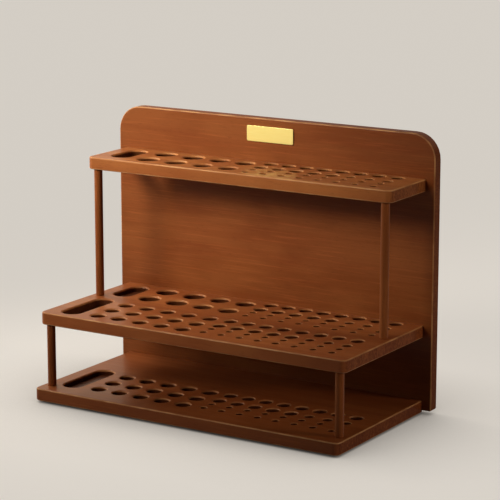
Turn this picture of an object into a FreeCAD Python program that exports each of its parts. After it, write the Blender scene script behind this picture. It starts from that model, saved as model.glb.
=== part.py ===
"""Three-tier wooden stand for hobby tools and brushes.

A tall back panel carries three boards. Tools pass through the holes of an upper board and stand
in shallow recesses of the board below it, so both boards share one hole layout. Round posts hold
up the front corners, screws from behind hold the boards, and a bare brass plate marks the panel.
Frame: X to the right, Y to the back, Z up, millimetres, origin below the middle of the stand.
"""
import FreeCAD, Part
import math
import os
import Sketcher

doc = FreeCAD.newDocument("tool_stand")

# Driving dimensions
SIZES = {
    # stock and overall build
    "board_thick": 12,          # the three boards
    "panel_thick": 12,
    "panel_overhang": 9,        # panel past the board at each side
    "panel_lift": 2,            # panel's lower edge above the base's underside
    "panel_rise": 41,           # panel above the top shelf
    "panel_corner": 24,         # radius of the panel's two upper corners
    "board_corner": 6,          # radius of a board's two front corners
    "edge_round": 1.5,          # softened edges of panel and boards
    "lower_bay": 59.5,          # clear height between base and middle shelf
    "upper_bay": 124.5,         # clear height between middle and top shelf
    "base_lip": 11,             # base past the middle shelf at the front
    # hole layout from left to right
    "slot_side_margin": 15.5,
    "slot_width": 20,
    "slot_gap_widest": 12,      # wood between slot and first hole of the rear strip
    "slot_gap_medium": 12.3,    # the same in the front strip
    "widest_hole": 20.5,
    "widest_pitch": 31.7,
    "wide_hole": 18,
    "wide_step": 29.85,         # from the last widest column to the first wide one
    "wide_pitch": 28.5,
    "medium_hole": 14,
    "medium_pitch": 23.75,
    "medium_columns": 5,
    "group_gap": 8.45,          # wood between the left groups and the slim group
    "slim_hole": 12.5,
    "narrow_hole": 9,
    "fine_hole": 6.5,
    "slim_pitch": 19.2,
    "slim_columns": 8,
    "slim_in_second_row": 5,
    "slim_side_margin": 17.85,
    # hole layout from the panel to the front
    "rear_back_margin": 2.45,
    "rear_front_margin": 9.05,
    "front_back_margin": 7.25,
    "front_front_margin": 16.25,
    "first_row_pitch": 19,
    "row_pitch": 13.5,
    "widest_row_pitch": 30.4,
    "medium_row_pitch": 22.9,
    "medium_back_margin": 8.1,
    "rear_slot_back_margin": 10,
    "rear_slot_front_margin": 13,
    "front_slot_back_margin": 2.5,
    "front_slot_front_margin": 8.5,
    "recess_depth": 5,          # blind holes that the tools stand in
    # posts
    "post_dia": 8,
    "post_side_edge": 4.5,      # wood between a post and the board's end
    "post_front_edge": 2.5,     # wood between a post and the board's front
    "post_tenon": 6,            # post end inside the board above
    "post_fit": 0.2,            # socket wider than post
    "glue_gap": 0.3,            # room above the post's end
    "post_chamfer": 0.6,
    # screws
    "panel_screw_dia": 3.5,
    "panel_screw_head": 7,
    "panel_screw_length": 35,
    "panel_screw_inset": 8.5,   # from a board's end
    "panel_screw_rise": 8.25,   # above a board's underside, so that the lowest heads clear the panel's edge
    "post_screw_dia": 3,
    "post_screw_head": 6,
    "post_screw_length": 30,
    "screw_fit": 0.2,           # holes wider than the screws
    "head_sink": 0.3,           # heads below the wood's face
    "tip_gap": 1,               # pilot holes deeper than the screws
    # feet
    "foot_dia": 12,
    "foot_height": 2,
    "foot_side_inset": 20,
    "foot_end_inset": 14,
    "foot_chamfer": 0.4,
    # brass plate and the tape that holds it
    "plate_width": 51,
    "plate_height": 15,
    "plate_thick": 1,
    "plate_corner": 1.2,
    "plate_bevel": 0.3,
    "plate_top_margin": 7.4,
    "tape_margin": 1.5,
    "tape_thick": 0.3,
}

COUNTERSINK_ANGLE = 90
TIP_SHARE = 1.5                 # a screw's tip is this many radii long
EVEN_STEP = -1.0                # a pattern's mark for a step of its plain pitch
NEAR = 0.001                    # tolerance for finding edges, in millimetres
X_AXIS = FreeCAD.Vector(1, 0, 0)
Y_AXIS = FreeCAD.Vector(0, 1, 0)
Z_AXIS = FreeCAD.Vector(0, 0, 1)

sheet = doc.addObject("Spreadsheet::Sheet", "sizes")
for row, (alias, value) in enumerate(SIZES.items(), start=1):
    sheet.set(f"A{row}", alias)
    sheet.set(f"B{row}", str(value))
    sheet.setAlias(f"B{row}", alias)
doc.recompute()

# Worked-out sizes and places, as expressions on the sheet
S = "sizes."
MEDIUM_RUN = f"({S}slot_gap_medium + ({S}medium_columns - 1) * {S}medium_pitch + {S}medium_hole)"
WIDE_RUN = (f"({S}slot_gap_widest + {S}widest_pitch + {S}wide_step + {S}wide_pitch"
            f" + {S}widest_hole / 2 + {S}wide_hole / 2)")
LEFT_RUN = f"max({MEDIUM_RUN}; {WIDE_RUN})"
SLIM_RUN = f"(({S}slim_columns - 1) * {S}slim_pitch + {S}slim_hole)"
BOARD_WIDTH = (f"({S}slot_side_margin + {S}slot_width + {LEFT_RUN} + {S}group_gap"
               f" + {SLIM_RUN} + {S}slim_side_margin)")
PANEL_WIDTH = f"({BOARD_WIDTH} + 2 * {S}panel_overhang)"

ROWS_SPAN = f"({S}first_row_pitch + 2 * {S}row_pitch + {S}slim_hole / 2 + {S}fine_hole / 2)"
REAR_STRIP = f"({S}rear_back_margin + {ROWS_SPAN} + {S}rear_front_margin)"
FRONT_STRIP = f"({S}front_back_margin + {ROWS_SPAN} + {S}front_front_margin)"
MIDDLE_DEPTH = f"({REAR_STRIP} + {FRONT_STRIP})"
BASE_DEPTH = f"({MIDDLE_DEPTH} + {S}base_lip)"

FACE_Y = f"(({BASE_DEPTH} - {S}panel_thick) / 2)"
BASE_Z = f"{S}foot_height"
MIDDLE_Z = f"({BASE_Z} + {S}board_thick + {S}lower_bay)"
TOP_Z = f"({MIDDLE_Z} + {S}board_thick + {S}upper_bay)"
PANEL_Z = f"({BASE_Z} + {S}panel_lift)"
PANEL_HEIGHT = f"({TOP_Z} + {S}board_thick + {S}panel_rise - {PANEL_Z})"

SLOT_LEFT = f"(-{BOARD_WIDTH} / 2 + {S}slot_side_margin)"
SLOT_X = f"({SLOT_LEFT} + {S}slot_width / 2)"
SLOT_RIGHT = f"({SLOT_LEFT} + {S}slot_width)"
WIDEST_X = f"({SLOT_RIGHT} + {S}slot_gap_widest + {S}widest_hole / 2)"
WIDE_X = f"({WIDEST_X} + {S}widest_pitch + {S}wide_step)"
MEDIUM_X = f"({SLOT_RIGHT} + {S}slot_gap_medium + {S}medium_hole / 2)"
SLIM_X = f"({SLOT_RIGHT} + {LEFT_RUN} + {S}group_gap + {S}slim_hole / 2)"
NARROW_X = f"({SLIM_X} + {S}slim_in_second_row * {S}slim_pitch)"
NARROW_COLUMNS = f"({S}slim_columns - {S}slim_in_second_row)"

POST_X = f"({BOARD_WIDTH} / 2 - {S}post_side_edge - {S}post_dia / 2)"
UPPER_POST_Y = f"(-{REAR_STRIP} + {S}post_front_edge + {S}post_dia / 2)"
LOWER_POST_Y = f"(-{MIDDLE_DEPTH} + {S}post_front_edge + {S}post_dia / 2)"
PANEL_SCREW_X = f"({BOARD_WIDTH} / 2 - {S}panel_screw_inset)"
FOOT_X = f"({BOARD_WIDTH} / 2 - {S}foot_side_inset)"

BOARDS_Z = {"top": TOP_Z, "middle": MIDDLE_Z, "base": BASE_Z}
SIDES = {"left": -1, "right": 1}

# Reads one expression at a time
gauge = doc.addObject("App::FeaturePython", "gauge")
gauge.addProperty("App::PropertyFloat", "reading")


def bind(obj, **expressions):
    """Ties properties to the sheet; two underscores stand for a dot."""
    for name, expression in expressions.items():
        obj.setExpression(name.replace("__", "."), str(expression))


def new_body(label, x="0", y="0", z="0", turn=None):
    """A body that stands at a place given by expressions, turned about its own origin."""
    body = doc.addObject("PartDesign::Body", label)
    body.Label = label
    if turn:
        body.Placement = FreeCAD.Placement(FreeCAD.Vector(), turn)
    bind(body, Placement__Base__x=x, Placement__Base__y=y, Placement__Base__z=z)
    return body


def origin_part(body, role):
    return next(part for part in body.Origin.OriginFeatures if part.Role == role)


def new_sketch(body, name, plane="XY_Plane", x="0", y="0", lift="0"):
    """A sketch parallel to one of the body's own planes, its origin moved in that plane and off it."""
    sketch = body.newObject("Sketcher::SketchObject", name)
    sketch.AttachmentSupport = (origin_part(body, plane), [""])
    sketch.MapMode = "FlatFace"
    bind(sketch, AttachmentOffset__Base__x=x, AttachmentOffset__Base__y=y,
         AttachmentOffset__Base__z=lift)
    return sketch


def value_of(expression):
    """The number that an expression on the sheet gives now, so that a sketch starts near its shape."""
    bind(gauge, reading=expression)
    gauge.recompute()
    return gauge.reading


def polygon(sketch, corners):
    """Closed lines through the corners, joined end to start."""
    count = len(corners)
    points = [FreeCAD.Vector(u, v, 0) for u, v in corners]
    for i in range(count):
        sketch.addGeometry(Part.LineSegment(points[i], points[(i + 1) % count]))
    for i in range(count):
        sketch.addConstraint(Sketcher.Constraint("Coincident", i, 2, (i + 1) % count, 1))


def measure(sketch, kind, name, expression, *points):
    """A named dimension that follows the sheet."""
    index = sketch.addConstraint(Sketcher.Constraint(kind, *points, value_of(expression)))
    sketch.renameConstraint(index, name)
    sketch.setExpression(f"Constraints.{name}", expression)


def rectangle(sketch, width, height):
    """A rectangle that stands on the sketch's X axis, even about its Y axis."""
    half = value_of(width) / 2
    top = value_of(height)
    polygon(sketch, [(-half, 0), (half, 0), (half, top), (-half, top)])
    for line in (0, 2):
        sketch.addConstraint(Sketcher.Constraint("Horizontal", line))
    for line in (1, 3):
        sketch.addConstraint(Sketcher.Constraint("Vertical", line))
    sketch.addConstraint(Sketcher.Constraint("Symmetric", 0, 1, 0, 2, -1, 1))
    measure(sketch, "DistanceX", "width", width, 0, 1, 0, 2)
    measure(sketch, "DistanceY", "height", height, 1, 1, 1, 2)


def circle(sketch, diameter):
    """A circle about the sketch's origin."""
    sketch.addGeometry(Part.Circle(FreeCAD.Vector(), Z_AXIS, value_of(diameter) / 2))
    sketch.addConstraint(Sketcher.Constraint("Coincident", 0, 3, -1, 1))
    measure(sketch, "Diameter", "diameter", diameter, 0)


def slot(sketch, width, length):
    """A slot with round ends along the sketch's Y axis, even about its origin."""
    radius = value_of(width) / 2
    reach = value_of(length) / 2 - radius
    far = Part.Circle(FreeCAD.Vector(0, reach, 0), Z_AXIS, radius)
    near = Part.Circle(FreeCAD.Vector(0, -reach, 0), Z_AXIS, radius)
    corners = [FreeCAD.Vector(u * radius, v * reach, 0) for u, v in ((-1, 1), (-1, -1), (1, -1), (1, 1))]
    sketch.addGeometry(Part.ArcOfCircle(far, 0, math.pi))
    sketch.addGeometry(Part.LineSegment(corners[0], corners[1]))
    sketch.addGeometry(Part.ArcOfCircle(near, math.pi, 2 * math.pi))
    sketch.addGeometry(Part.LineSegment(corners[2], corners[3]))
    for first, second in ((0, 1), (1, 2), (2, 3), (3, 0)):
        sketch.addConstraint(Sketcher.Constraint("Tangent", first, 2, second, 1))
    sketch.addConstraint(Sketcher.Constraint("Vertical", 1))
    sketch.addConstraint(Sketcher.Constraint("Symmetric", 0, 3, 2, 3, -1, 1))
    measure(sketch, "DistanceX", "width", width, 1, 1, 3, 2)
    measure(sketch, "DistanceY", "centres", f"{length} - {width}", 2, 3, 0, 3)


def pad(body, sketch, length, backwards=False):
    feature = body.newObject("PartDesign::Pad", f"{sketch.Name}_pad")
    feature.Profile = sketch
    feature.Reversed = backwards
    bind(feature, Length=length)
    doc.recompute()
    return feature


def pocket(body, sketch, depth=None, backwards=False):
    """Cuts against the sketch's normal; a cut with no depth goes through everything."""
    feature = body.newObject("PartDesign::Pocket", f"{sketch.Name}_pocket")
    feature.Profile = sketch
    feature.Reversed = backwards
    if depth:
        bind(feature, Length=depth)
    else:
        feature.Type = "ThroughAll"
    doc.recompute()
    return feature


def softened(body, kind, name, size, chosen):
    """A Fillet or Chamfer on the tip's edges that pass a test on the edge."""
    base = body.Tip
    edges = [f"Edge{i}" for i, edge in enumerate(base.Shape.Edges, start=1) if chosen(edge)]
    feature = body.newObject(f"PartDesign::{kind}", name)
    feature.Base = (base, edges)
    bind(feature, **{"Radius" if kind == "Fillet" else "Size": size})
    doc.recompute()
    return feature


def mirrored(body, name, features):
    """Repeats features on the other side of the body's middle plane."""
    feature = body.newObject("PartDesign::Mirrored", name)
    feature.Originals = features
    feature.MirrorPlane = (origin_part(body, "YZ_Plane"), [""])
    body.Tip = feature
    doc.recompute()


def repeated(body, name, cut, columns, pitch, rows=None, row_pitch=None):
    """Repeats a cut to the right and, where it has rows, towards the front."""
    feature = body.newObject("PartDesign::LinearPattern", name)
    feature.Originals = [cut]
    feature.Direction = (origin_part(body, "X_Axis"), [""])
    feature.Mode = "Spacing"
    bind(feature, Occurrences=columns, Offset=pitch)
    if rows:
        feature.Direction2 = (origin_part(body, "Y_Axis"), [""])
        feature.Reversed2 = True
        feature.Mode2 = "Spacing"
        feature.Occurrences2 = rows
        feature.Spacings2 = [EVEN_STEP] * (rows - 1)
        bind(feature, Offset2=row_pitch)
    body.Tip = feature
    doc.recompute()


def is_along(edge, axis):
    return abs(edge.tangentAt(edge.FirstParameter).dot(axis)) > 1 - NEAR


def lies_flat(edge, axis):
    """True for an edge, straight or round, that stays in one plane square to the axis."""
    middle = edge.valueAt((edge.FirstParameter + edge.LastParameter) / 2)
    spread = [abs((vertex.Point - middle).dot(axis)) for vertex in edge.Vertexes]
    return max(spread) < NEAR


def countersunk(body, name, sketch, diameter, head, backwards=False):
    """A clearance hole with a seat for a countersunk head at the sketch's plane."""
    feature = body.newObject("PartDesign::Hole", name)
    feature.Profile = sketch
    doc.recompute()
    feature.ThreadType = "None"
    feature.DepthType = "ThroughAll"
    feature.HoleCutType = "Countersink"
    feature.HoleCutCustomValues = True
    feature.HoleCutCountersinkAngle = COUNTERSINK_ANGLE
    feature.Reversed = backwards
    bind(feature, Diameter=f"{diameter} + {S}screw_fit",
         HoleCutDiameter=f"{head} + {S}screw_fit + 2 * {S}head_sink")
    doc.recompute()
    return feature


def make_back_panel():
    """The upright panel: origin below the middle of its front face, thickness towards the back."""
    body = new_body("back_panel", y=FACE_Y, z=PANEL_Z)
    outline = new_sketch(body, "panel_outline", "XZ_Plane")
    rectangle(outline, PANEL_WIDTH, PANEL_HEIGHT)
    pad(body, outline, f"{S}panel_thick", backwards=True)
    top = body.Shape.BoundBox.ZLength - NEAR
    softened(body, "Fillet", "panel_corners", f"{S}panel_corner",
             lambda e: is_along(e, Y_AXIS) and e.BoundBox.ZMax > top)
    softened(body, "Fillet", "panel_edges", f"{S}edge_round", lambda e: lies_flat(e, Y_AXIS))
    holes = []
    for name, board_z in BOARDS_Z.items():
        mark = new_sketch(body, f"{name}_screw_mark", "XZ_Plane", x=PANEL_SCREW_X,
                          y=f"{board_z} + {S}panel_screw_rise - {PANEL_Z}", lift=f"-{S}panel_thick")
        circle(mark, f"{S}panel_screw_dia")
        holes.append(countersunk(body, f"{name}_screw_hole", mark, f"{S}panel_screw_dia",
                                 f"{S}panel_screw_head", backwards=True))
    mirrored(body, "left_screw_holes", holes)
    return body


def new_board(label, depth, z):
    """A board against the panel: origin below the middle of its rear edge, depth towards the front.

    Its rear edges stay sharp, so that the joint with the panel closes.
    """
    body = new_body(label, y=FACE_Y, z=z)
    outline = new_sketch(body, f"{label}_outline", y=f"-{depth}")
    rectangle(outline, BOARD_WIDTH, depth)
    pad(body, outline, f"{S}board_thick")
    softened(body, "Fillet", f"{label}_corners", f"{S}board_corner",
             lambda e: is_along(e, Z_AXIS) and e.BoundBox.YMin < -NEAR)
    softened(body, "Fillet", f"{label}_edges", f"{S}edge_round",
             lambda e: lies_flat(e, Z_AXIS) and e.BoundBox.YMin < -NEAR)
    pilot = new_sketch(body, f"{label}_pilot_mark", "XZ_Plane", x=PANEL_SCREW_X,
                       y=f"{S}panel_screw_rise")
    circle(pilot, f"{S}panel_screw_dia + {S}screw_fit")
    drilled = pocket(body, pilot, f"{S}panel_screw_length - {S}panel_thick + {S}tip_gap", backwards=True)
    mirrored(body, f"{label}_left_pilot", [drilled])
    return body


def drill_group(body, name, diameter, x, y, depth, columns, pitch, rows=None, row_pitch=None):
    """A grid of round holes from the board's top face, its first hole at the back left."""
    mark = new_sketch(body, f"{body.Label}_{name}", x=x, y=y, lift=f"{S}board_thick")
    circle(mark, diameter)
    first = pocket(body, mark, depth)
    repeated(body, f"{mark.Name}_grid", first, columns, pitch, rows, row_pitch)


def drill_slot(body, name, length, y, depth):
    mark = new_sketch(body, f"{body.Label}_{name}", x=SLOT_X, y=y, lift=f"{S}board_thick")
    slot(mark, f"{S}slot_width", length)
    pocket(body, mark, depth)


def drill_slim_rows(body, strip, first_y, depth):
    """Four rows of small holes: slim, slim with a few narrow, and two of fine ones."""
    second_y = f"({first_y} - {S}first_row_pitch)"
    fine_y = f"({second_y} - {S}row_pitch)"
    drill_group(body, f"{strip}_slim", f"{S}slim_hole", SLIM_X, first_y, depth,
                f"{S}slim_columns", f"{S}slim_pitch")
    drill_group(body, f"{strip}_slim_second", f"{S}slim_hole", SLIM_X, second_y, depth,
                f"{S}slim_in_second_row", f"{S}slim_pitch")
    drill_group(body, f"{strip}_narrow", f"{S}narrow_hole", NARROW_X, second_y, depth,
                NARROW_COLUMNS, f"{S}slim_pitch")
    drill_group(body, f"{strip}_fine", f"{S}fine_hole", SLIM_X, fine_y, depth,
                f"{S}slim_columns", f"{S}slim_pitch", 2, f"{S}row_pitch")


def drill_rear_strip(body, depth=None):
    """The layout that the top shelf shares with the back of the middle shelf."""
    slot_length = f"({REAR_STRIP} - {S}rear_slot_back_margin - {S}rear_slot_front_margin)"
    middle = f"(-{S}rear_slot_back_margin - {slot_length} / 2)"
    drill_slot(body, "rear_slot", slot_length, middle, depth)
    row_y = f"({middle} + {S}widest_row_pitch / 2)"
    drill_group(body, "rear_widest", f"{S}widest_hole", WIDEST_X, row_y, depth,
                "2", f"{S}widest_pitch", 2, f"{S}widest_row_pitch")
    drill_group(body, "rear_wide", f"{S}wide_hole", WIDE_X, row_y, depth,
                "2", f"{S}wide_pitch", 2, f"{S}widest_row_pitch")
    drill_slim_rows(body, "rear", f"(-{S}rear_back_margin - {S}slim_hole / 2)", depth)


def drill_front_strip(body, depth=None):
    """The layout that the front of the middle shelf shares with the base."""
    margins = f"({S}front_slot_back_margin + {S}front_slot_front_margin)"
    slot_length = f"({FRONT_STRIP} - {margins})"
    drill_slot(body, "front_slot", slot_length,
               f"(-{REAR_STRIP} - {S}front_slot_back_margin - {slot_length} / 2)", depth)
    drill_group(body, "front_medium", f"{S}medium_hole", MEDIUM_X,
                f"(-{REAR_STRIP} - {S}medium_back_margin - {S}medium_hole / 2)", depth,
                f"{S}medium_columns", f"{S}medium_pitch", 3, f"{S}medium_row_pitch")
    drill_slim_rows(body, "front", f"(-{REAR_STRIP} - {S}front_back_margin - {S}slim_hole / 2)", depth)


def drill_post_sockets(body, name, y):
    """Blind sockets in a board's underside for the upper ends of two posts."""
    mark = new_sketch(body, f"{body.Label}_{name}", x=POST_X, y=y)
    circle(mark, f"{S}post_dia + {S}post_fit")
    cut = pocket(body, mark, f"{S}post_tenon + {S}glue_gap", backwards=True)
    mirrored(body, f"{mark.Name}_left", [cut])


def drill_post_screws(body, name, y):
    """Countersunk holes in a board's underside for the screws that hold two posts above it."""
    mark = new_sketch(body, f"{body.Label}_{name}", x=POST_X, y=y)
    circle(mark, f"{S}post_screw_dia")
    cut = countersunk(body, f"{mark.Name}_hole", mark, f"{S}post_screw_dia",
                      f"{S}post_screw_head", backwards=True)
    mirrored(body, f"{mark.Name}_left", [cut])


def make_boards():
    top = new_board("top_shelf", REAR_STRIP, TOP_Z)
    drill_post_sockets(top, "post_socket", UPPER_POST_Y)
    drill_rear_strip(top)
    middle = new_board("middle_shelf", MIDDLE_DEPTH, MIDDLE_Z)
    drill_post_sockets(middle, "post_socket", LOWER_POST_Y)
    drill_post_screws(middle, "post_screw", UPPER_POST_Y)
    drill_rear_strip(middle, f"{S}recess_depth")
    drill_front_strip(middle)
    base = new_board("base_board", BASE_DEPTH, BASE_Z)
    drill_post_screws(base, "post_screw", LOWER_POST_Y)
    drill_front_strip(base, f"{S}recess_depth")
    return [top, middle, base]


def make_post(tier, side, y, foot_z, bay):
    """A round post that stands on one board, with its upper end inside the next."""
    body = new_body(f"{tier}_post_{side}", x=f"{SIDES[side]} * {POST_X}", y=f"{FACE_Y} + {y}", z=foot_z)
    section = new_sketch(body, f"{body.Label}_section")
    circle(section, f"{S}post_dia")
    pad(body, section, f"{bay} + {S}post_tenon")
    top = body.Shape.BoundBox.ZLength - NEAR
    softened(body, "Chamfer", f"{body.Label}_lead", f"{S}post_chamfer",
             lambda e: len(e.Vertexes) == 1 and e.BoundBox.ZMin > top)
    pilot = new_sketch(body, f"{body.Label}_pilot")
    circle(pilot, f"{S}post_screw_dia + {S}screw_fit")
    depth = f"{S}post_screw_length + {S}head_sink - {S}board_thick + {S}tip_gap"
    pocket(body, pilot, depth, backwards=True)
    return body


def make_screw(label, kind, x, y, z, turn=None):
    """A countersunk wood screw, head at its origin, point along its own Z axis."""
    body = new_body(label, x, y, z, turn)
    radius = f"{S}{kind}_dia / 2"
    head = f"{S}{kind}_head / 2"
    profile = new_sketch(body, f"{label}_profile", "XZ_Plane")
    shank, rim, length = (value_of(e) for e in (radius, head, f"{S}{kind}_length"))
    polygon(profile, [(0, 0), (rim, 0), (shank, rim - shank),
                      (shank, length - TIP_SHARE * shank), (0, length)])
    profile.addConstraint(Sketcher.Constraint("Coincident", 0, 1, -1, 1))
    profile.addConstraint(Sketcher.Constraint("Horizontal", 0))
    for line in (2, 4):
        profile.addConstraint(Sketcher.Constraint("Vertical", line))
    measure(profile, "DistanceX", "head", head, 0, 1, 0, 2)
    measure(profile, "DistanceX", "shank", radius, -1, 1, 2, 1)
    measure(profile, "DistanceY", "cone", f"{head} - {radius}", 1, 1, 1, 2)
    measure(profile, "DistanceY", "tip", f"{TIP_SHARE} * {radius}", 3, 1, 3, 2)
    measure(profile, "DistanceY", "length", f"{S}{kind}_length", 4, 2, 4, 1)
    turned = body.newObject("PartDesign::Revolution", f"{label}_turned")
    turned.Profile = profile
    turned.ReferenceAxis = (profile, ["V_Axis"])
    turned.Angle = 360
    doc.recompute()
    return body


def make_screws():
    screws = []
    forwards = FreeCAD.Rotation(X_AXIS, 90)
    for side, sign in SIDES.items():
        for name, board_z in BOARDS_Z.items():
            screws.append(make_screw(
                f"panel_screw_{name}_{side}", "panel_screw", f"{sign} * {PANEL_SCREW_X}",
                f"{FACE_Y} + {S}panel_thick - {S}head_sink", f"{board_z} + {S}panel_screw_rise", forwards))
        for tier, y, z in (("upper", UPPER_POST_Y, MIDDLE_Z), ("lower", LOWER_POST_Y, BASE_Z)):
            screws.append(make_screw(
                f"post_screw_{tier}_{side}", "post_screw", f"{sign} * {POST_X}",
                f"{FACE_Y} + {y}", f"{z} + {S}head_sink"))
    return screws


def make_posts():
    posts = []
    for side in SIDES:
        posts.append(make_post("upper", side, UPPER_POST_Y,
                               f"{MIDDLE_Z} + {S}board_thick", f"{S}upper_bay"))
        posts.append(make_post("lower", side, LOWER_POST_Y,
                               f"{BASE_Z} + {S}board_thick", f"{S}lower_bay"))
    return posts


def make_feet():
    """Four low rubber discs under the base."""
    feet = []
    ends = {"front": f"(-{BASE_DEPTH} + {S}foot_end_inset)", "rear": f"(-{S}foot_end_inset)"}
    for end, y in ends.items():
        for side, sign in SIDES.items():
            body = new_body(f"foot_{end}_{side}", x=f"{sign} * {FOOT_X}", y=f"{FACE_Y} + {y}")
            disc = new_sketch(body, f"{body.Label}_disc")
            circle(disc, f"{S}foot_dia")
            pad(body, disc, f"{S}foot_height")
            softened(body, "Chamfer", f"{body.Label}_rim", f"{S}foot_chamfer",
                     lambda e: len(e.Vertexes) == 1 and e.BoundBox.ZMax < NEAR)
            feet.append(body)
    return feet


def make_plate():
    """The bare brass plate near the panel's top edge, held by a strip of tape."""
    plate_z = f"({PANEL_Z} + {PANEL_HEIGHT} - {S}plate_top_margin - {S}plate_height)"
    plate = new_body("brass_plate", y=f"{FACE_Y} - {S}tape_thick", z=plate_z)
    outline = new_sketch(plate, "plate_outline", "XZ_Plane")
    rectangle(outline, f"{S}plate_width", f"{S}plate_height")
    pad(plate, outline, f"{S}plate_thick")
    softened(plate, "Fillet", "plate_corners", f"{S}plate_corner", lambda e: is_along(e, Y_AXIS))
    face = -plate.Shape.BoundBox.YLength
    softened(plate, "Chamfer", "plate_rim", f"{S}plate_bevel", lambda e: e.BoundBox.YMax < face + NEAR)
    tape = doc.addObject("Part::Box", "plate_tape")
    tape.Label = "plate_tape"
    bind(tape, Length=f"{S}plate_width - 2 * {S}tape_margin", Width=f"{S}tape_thick",
         Height=f"{S}plate_height - 2 * {S}tape_margin",
         Placement__Base__x=f"-{S}plate_width / 2 + {S}tape_margin",
         Placement__Base__y=f"{FACE_Y} - {S}tape_thick",
         Placement__Base__z=f"{plate_z} + {S}tape_margin")
    return [plate, tape]


pieces = [make_back_panel(), *make_boards(), *make_posts(), *make_screws(), *make_feet(), *make_plate()]
doc.removeObject(gauge.Name)
doc.recompute()

for item in doc.Objects:
    if "Invalid" in item.State or "Error" in item.State:
        raise RuntimeError(f"{item.Label} did not build: {item.State}")
for piece in pieces:
    if piece.Shape.isNull() or not piece.Shape.isValid() or len(piece.Shape.Solids) != 1:
        raise RuntimeError(f"{piece.Label} is not one valid solid")

os.makedirs("parts", exist_ok=True)
for piece in pieces:
    piece.Shape.exportStep(f"parts/{piece.Label}.step")
    box = piece.Shape.BoundBox
    print(f"{piece.Label}: {box.XLength:.2f} x {box.YLength:.2f} x {box.ZLength:.2f} mm,"
          f" {piece.Shape.Volume / 1000:.2f} cm3, z from {box.ZMin:.2f}")
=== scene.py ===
# %% [markdown]
# # A three-tier wooden stand for hobby tools and brushes
# A tall back panel carries three boards. Tools drop through the holes of an upper board and stand
# in shallow recesses of the board below it, so the holes of both boards line up. Round posts hold
# the front corners, and a small bare brass plate sits near the panel's top edge.
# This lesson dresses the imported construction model: it keeps every size and place, and adds
# softened edges, drilled rims, screw threads, wood grain, lacquer and metal.

# %% Load the construction model
import bmesh
import bpy
import math
from mathutils import Euler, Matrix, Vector


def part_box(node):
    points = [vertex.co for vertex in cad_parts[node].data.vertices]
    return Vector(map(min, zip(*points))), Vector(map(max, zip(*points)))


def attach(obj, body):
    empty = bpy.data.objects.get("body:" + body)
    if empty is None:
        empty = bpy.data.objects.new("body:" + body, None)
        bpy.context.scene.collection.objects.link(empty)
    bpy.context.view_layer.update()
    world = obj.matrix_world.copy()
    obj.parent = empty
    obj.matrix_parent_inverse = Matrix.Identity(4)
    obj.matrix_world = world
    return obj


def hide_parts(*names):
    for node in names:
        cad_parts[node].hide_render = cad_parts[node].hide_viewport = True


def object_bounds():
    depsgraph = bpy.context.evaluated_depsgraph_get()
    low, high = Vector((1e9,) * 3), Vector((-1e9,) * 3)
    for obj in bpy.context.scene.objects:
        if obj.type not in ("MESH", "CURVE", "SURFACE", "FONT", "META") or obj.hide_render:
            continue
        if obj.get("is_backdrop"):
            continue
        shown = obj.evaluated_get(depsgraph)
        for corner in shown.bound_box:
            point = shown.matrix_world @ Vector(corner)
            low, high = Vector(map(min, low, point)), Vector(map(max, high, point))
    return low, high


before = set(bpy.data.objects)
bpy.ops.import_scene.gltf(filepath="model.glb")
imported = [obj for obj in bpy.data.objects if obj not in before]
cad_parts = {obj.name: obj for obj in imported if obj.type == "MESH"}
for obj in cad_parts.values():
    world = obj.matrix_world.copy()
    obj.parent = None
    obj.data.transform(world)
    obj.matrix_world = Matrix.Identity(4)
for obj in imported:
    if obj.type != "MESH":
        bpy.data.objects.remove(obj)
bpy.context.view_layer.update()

# %% [markdown]
# ## Small helpers
# Blender works in metres, and workshop sizes are easier to read in millimetres, so one constant
# turns one into the other. Shaders mix light, which needs linear colours, while colours are given
# as sRGB hex values, so one function translates them. Both kinds of node tree below are
# built by one function, which adds a node, sets it up and links it in a single call. A Mix node
# has sockets of the same name for numbers, vectors and colours, so those for colours are picked
# by their place.

# %% Helpers
MM = 0.001
COLOUR_A, COLOUR_B, COLOUR_OUT = 6, 7, 2    # places of a Mix node's colour sockets


def linear(hex_colour):
    """An sRGB hex value as a linear colour with full alpha."""
    shares = [int(hex_colour[i:i + 2], 16) / 255 for i in (1, 3, 5)]
    return [s / 12.92 if s <= 0.04045 else ((s + 0.055) / 1.055) ** 2.4 for s in shares] + [1.0]


def add(tree, kind, inputs=(), **settings):
    """Adds a node with inputs by name, or in order in a tuple; nodes and sockets are linked."""
    node = tree.nodes.new(kind)
    for name, value in settings.items():
        setattr(node, name, value)
    for key, value in inputs.items() if isinstance(inputs, dict) else enumerate(inputs):
        if isinstance(value, bpy.types.Node):
            value = next(socket for socket in value.outputs if socket.enabled)
        if isinstance(value, bpy.types.NodeSocket):
            tree.links.new(value, node.inputs[key])
        else:
            node.inputs[key].default_value = value
    return node


print("a mid brown in linear light:", [round(c, 3) for c in linear("#96522C")])

# %% [markdown]
# ## Camera
# The stand is seen from the right of its front and a little above the boards, with a long lens,
# so its upright edges stay upright. The camera is set first, because every later choice, such as
# how coarse the grain has to be, depends on how large a millimetre is in the picture.

# %% Camera
CAMERA_TARGET = Vector((17.87, 7.7, 151.24)) * MM
CAMERA_DISTANCE = 1977 * MM
CAMERA_AZIMUTH = math.radians(32.03)
CAMERA_ELEVATION = math.radians(12.37)
CAMERA_LENS = 154.46        # millimetres on a 36 mm sensor

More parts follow.
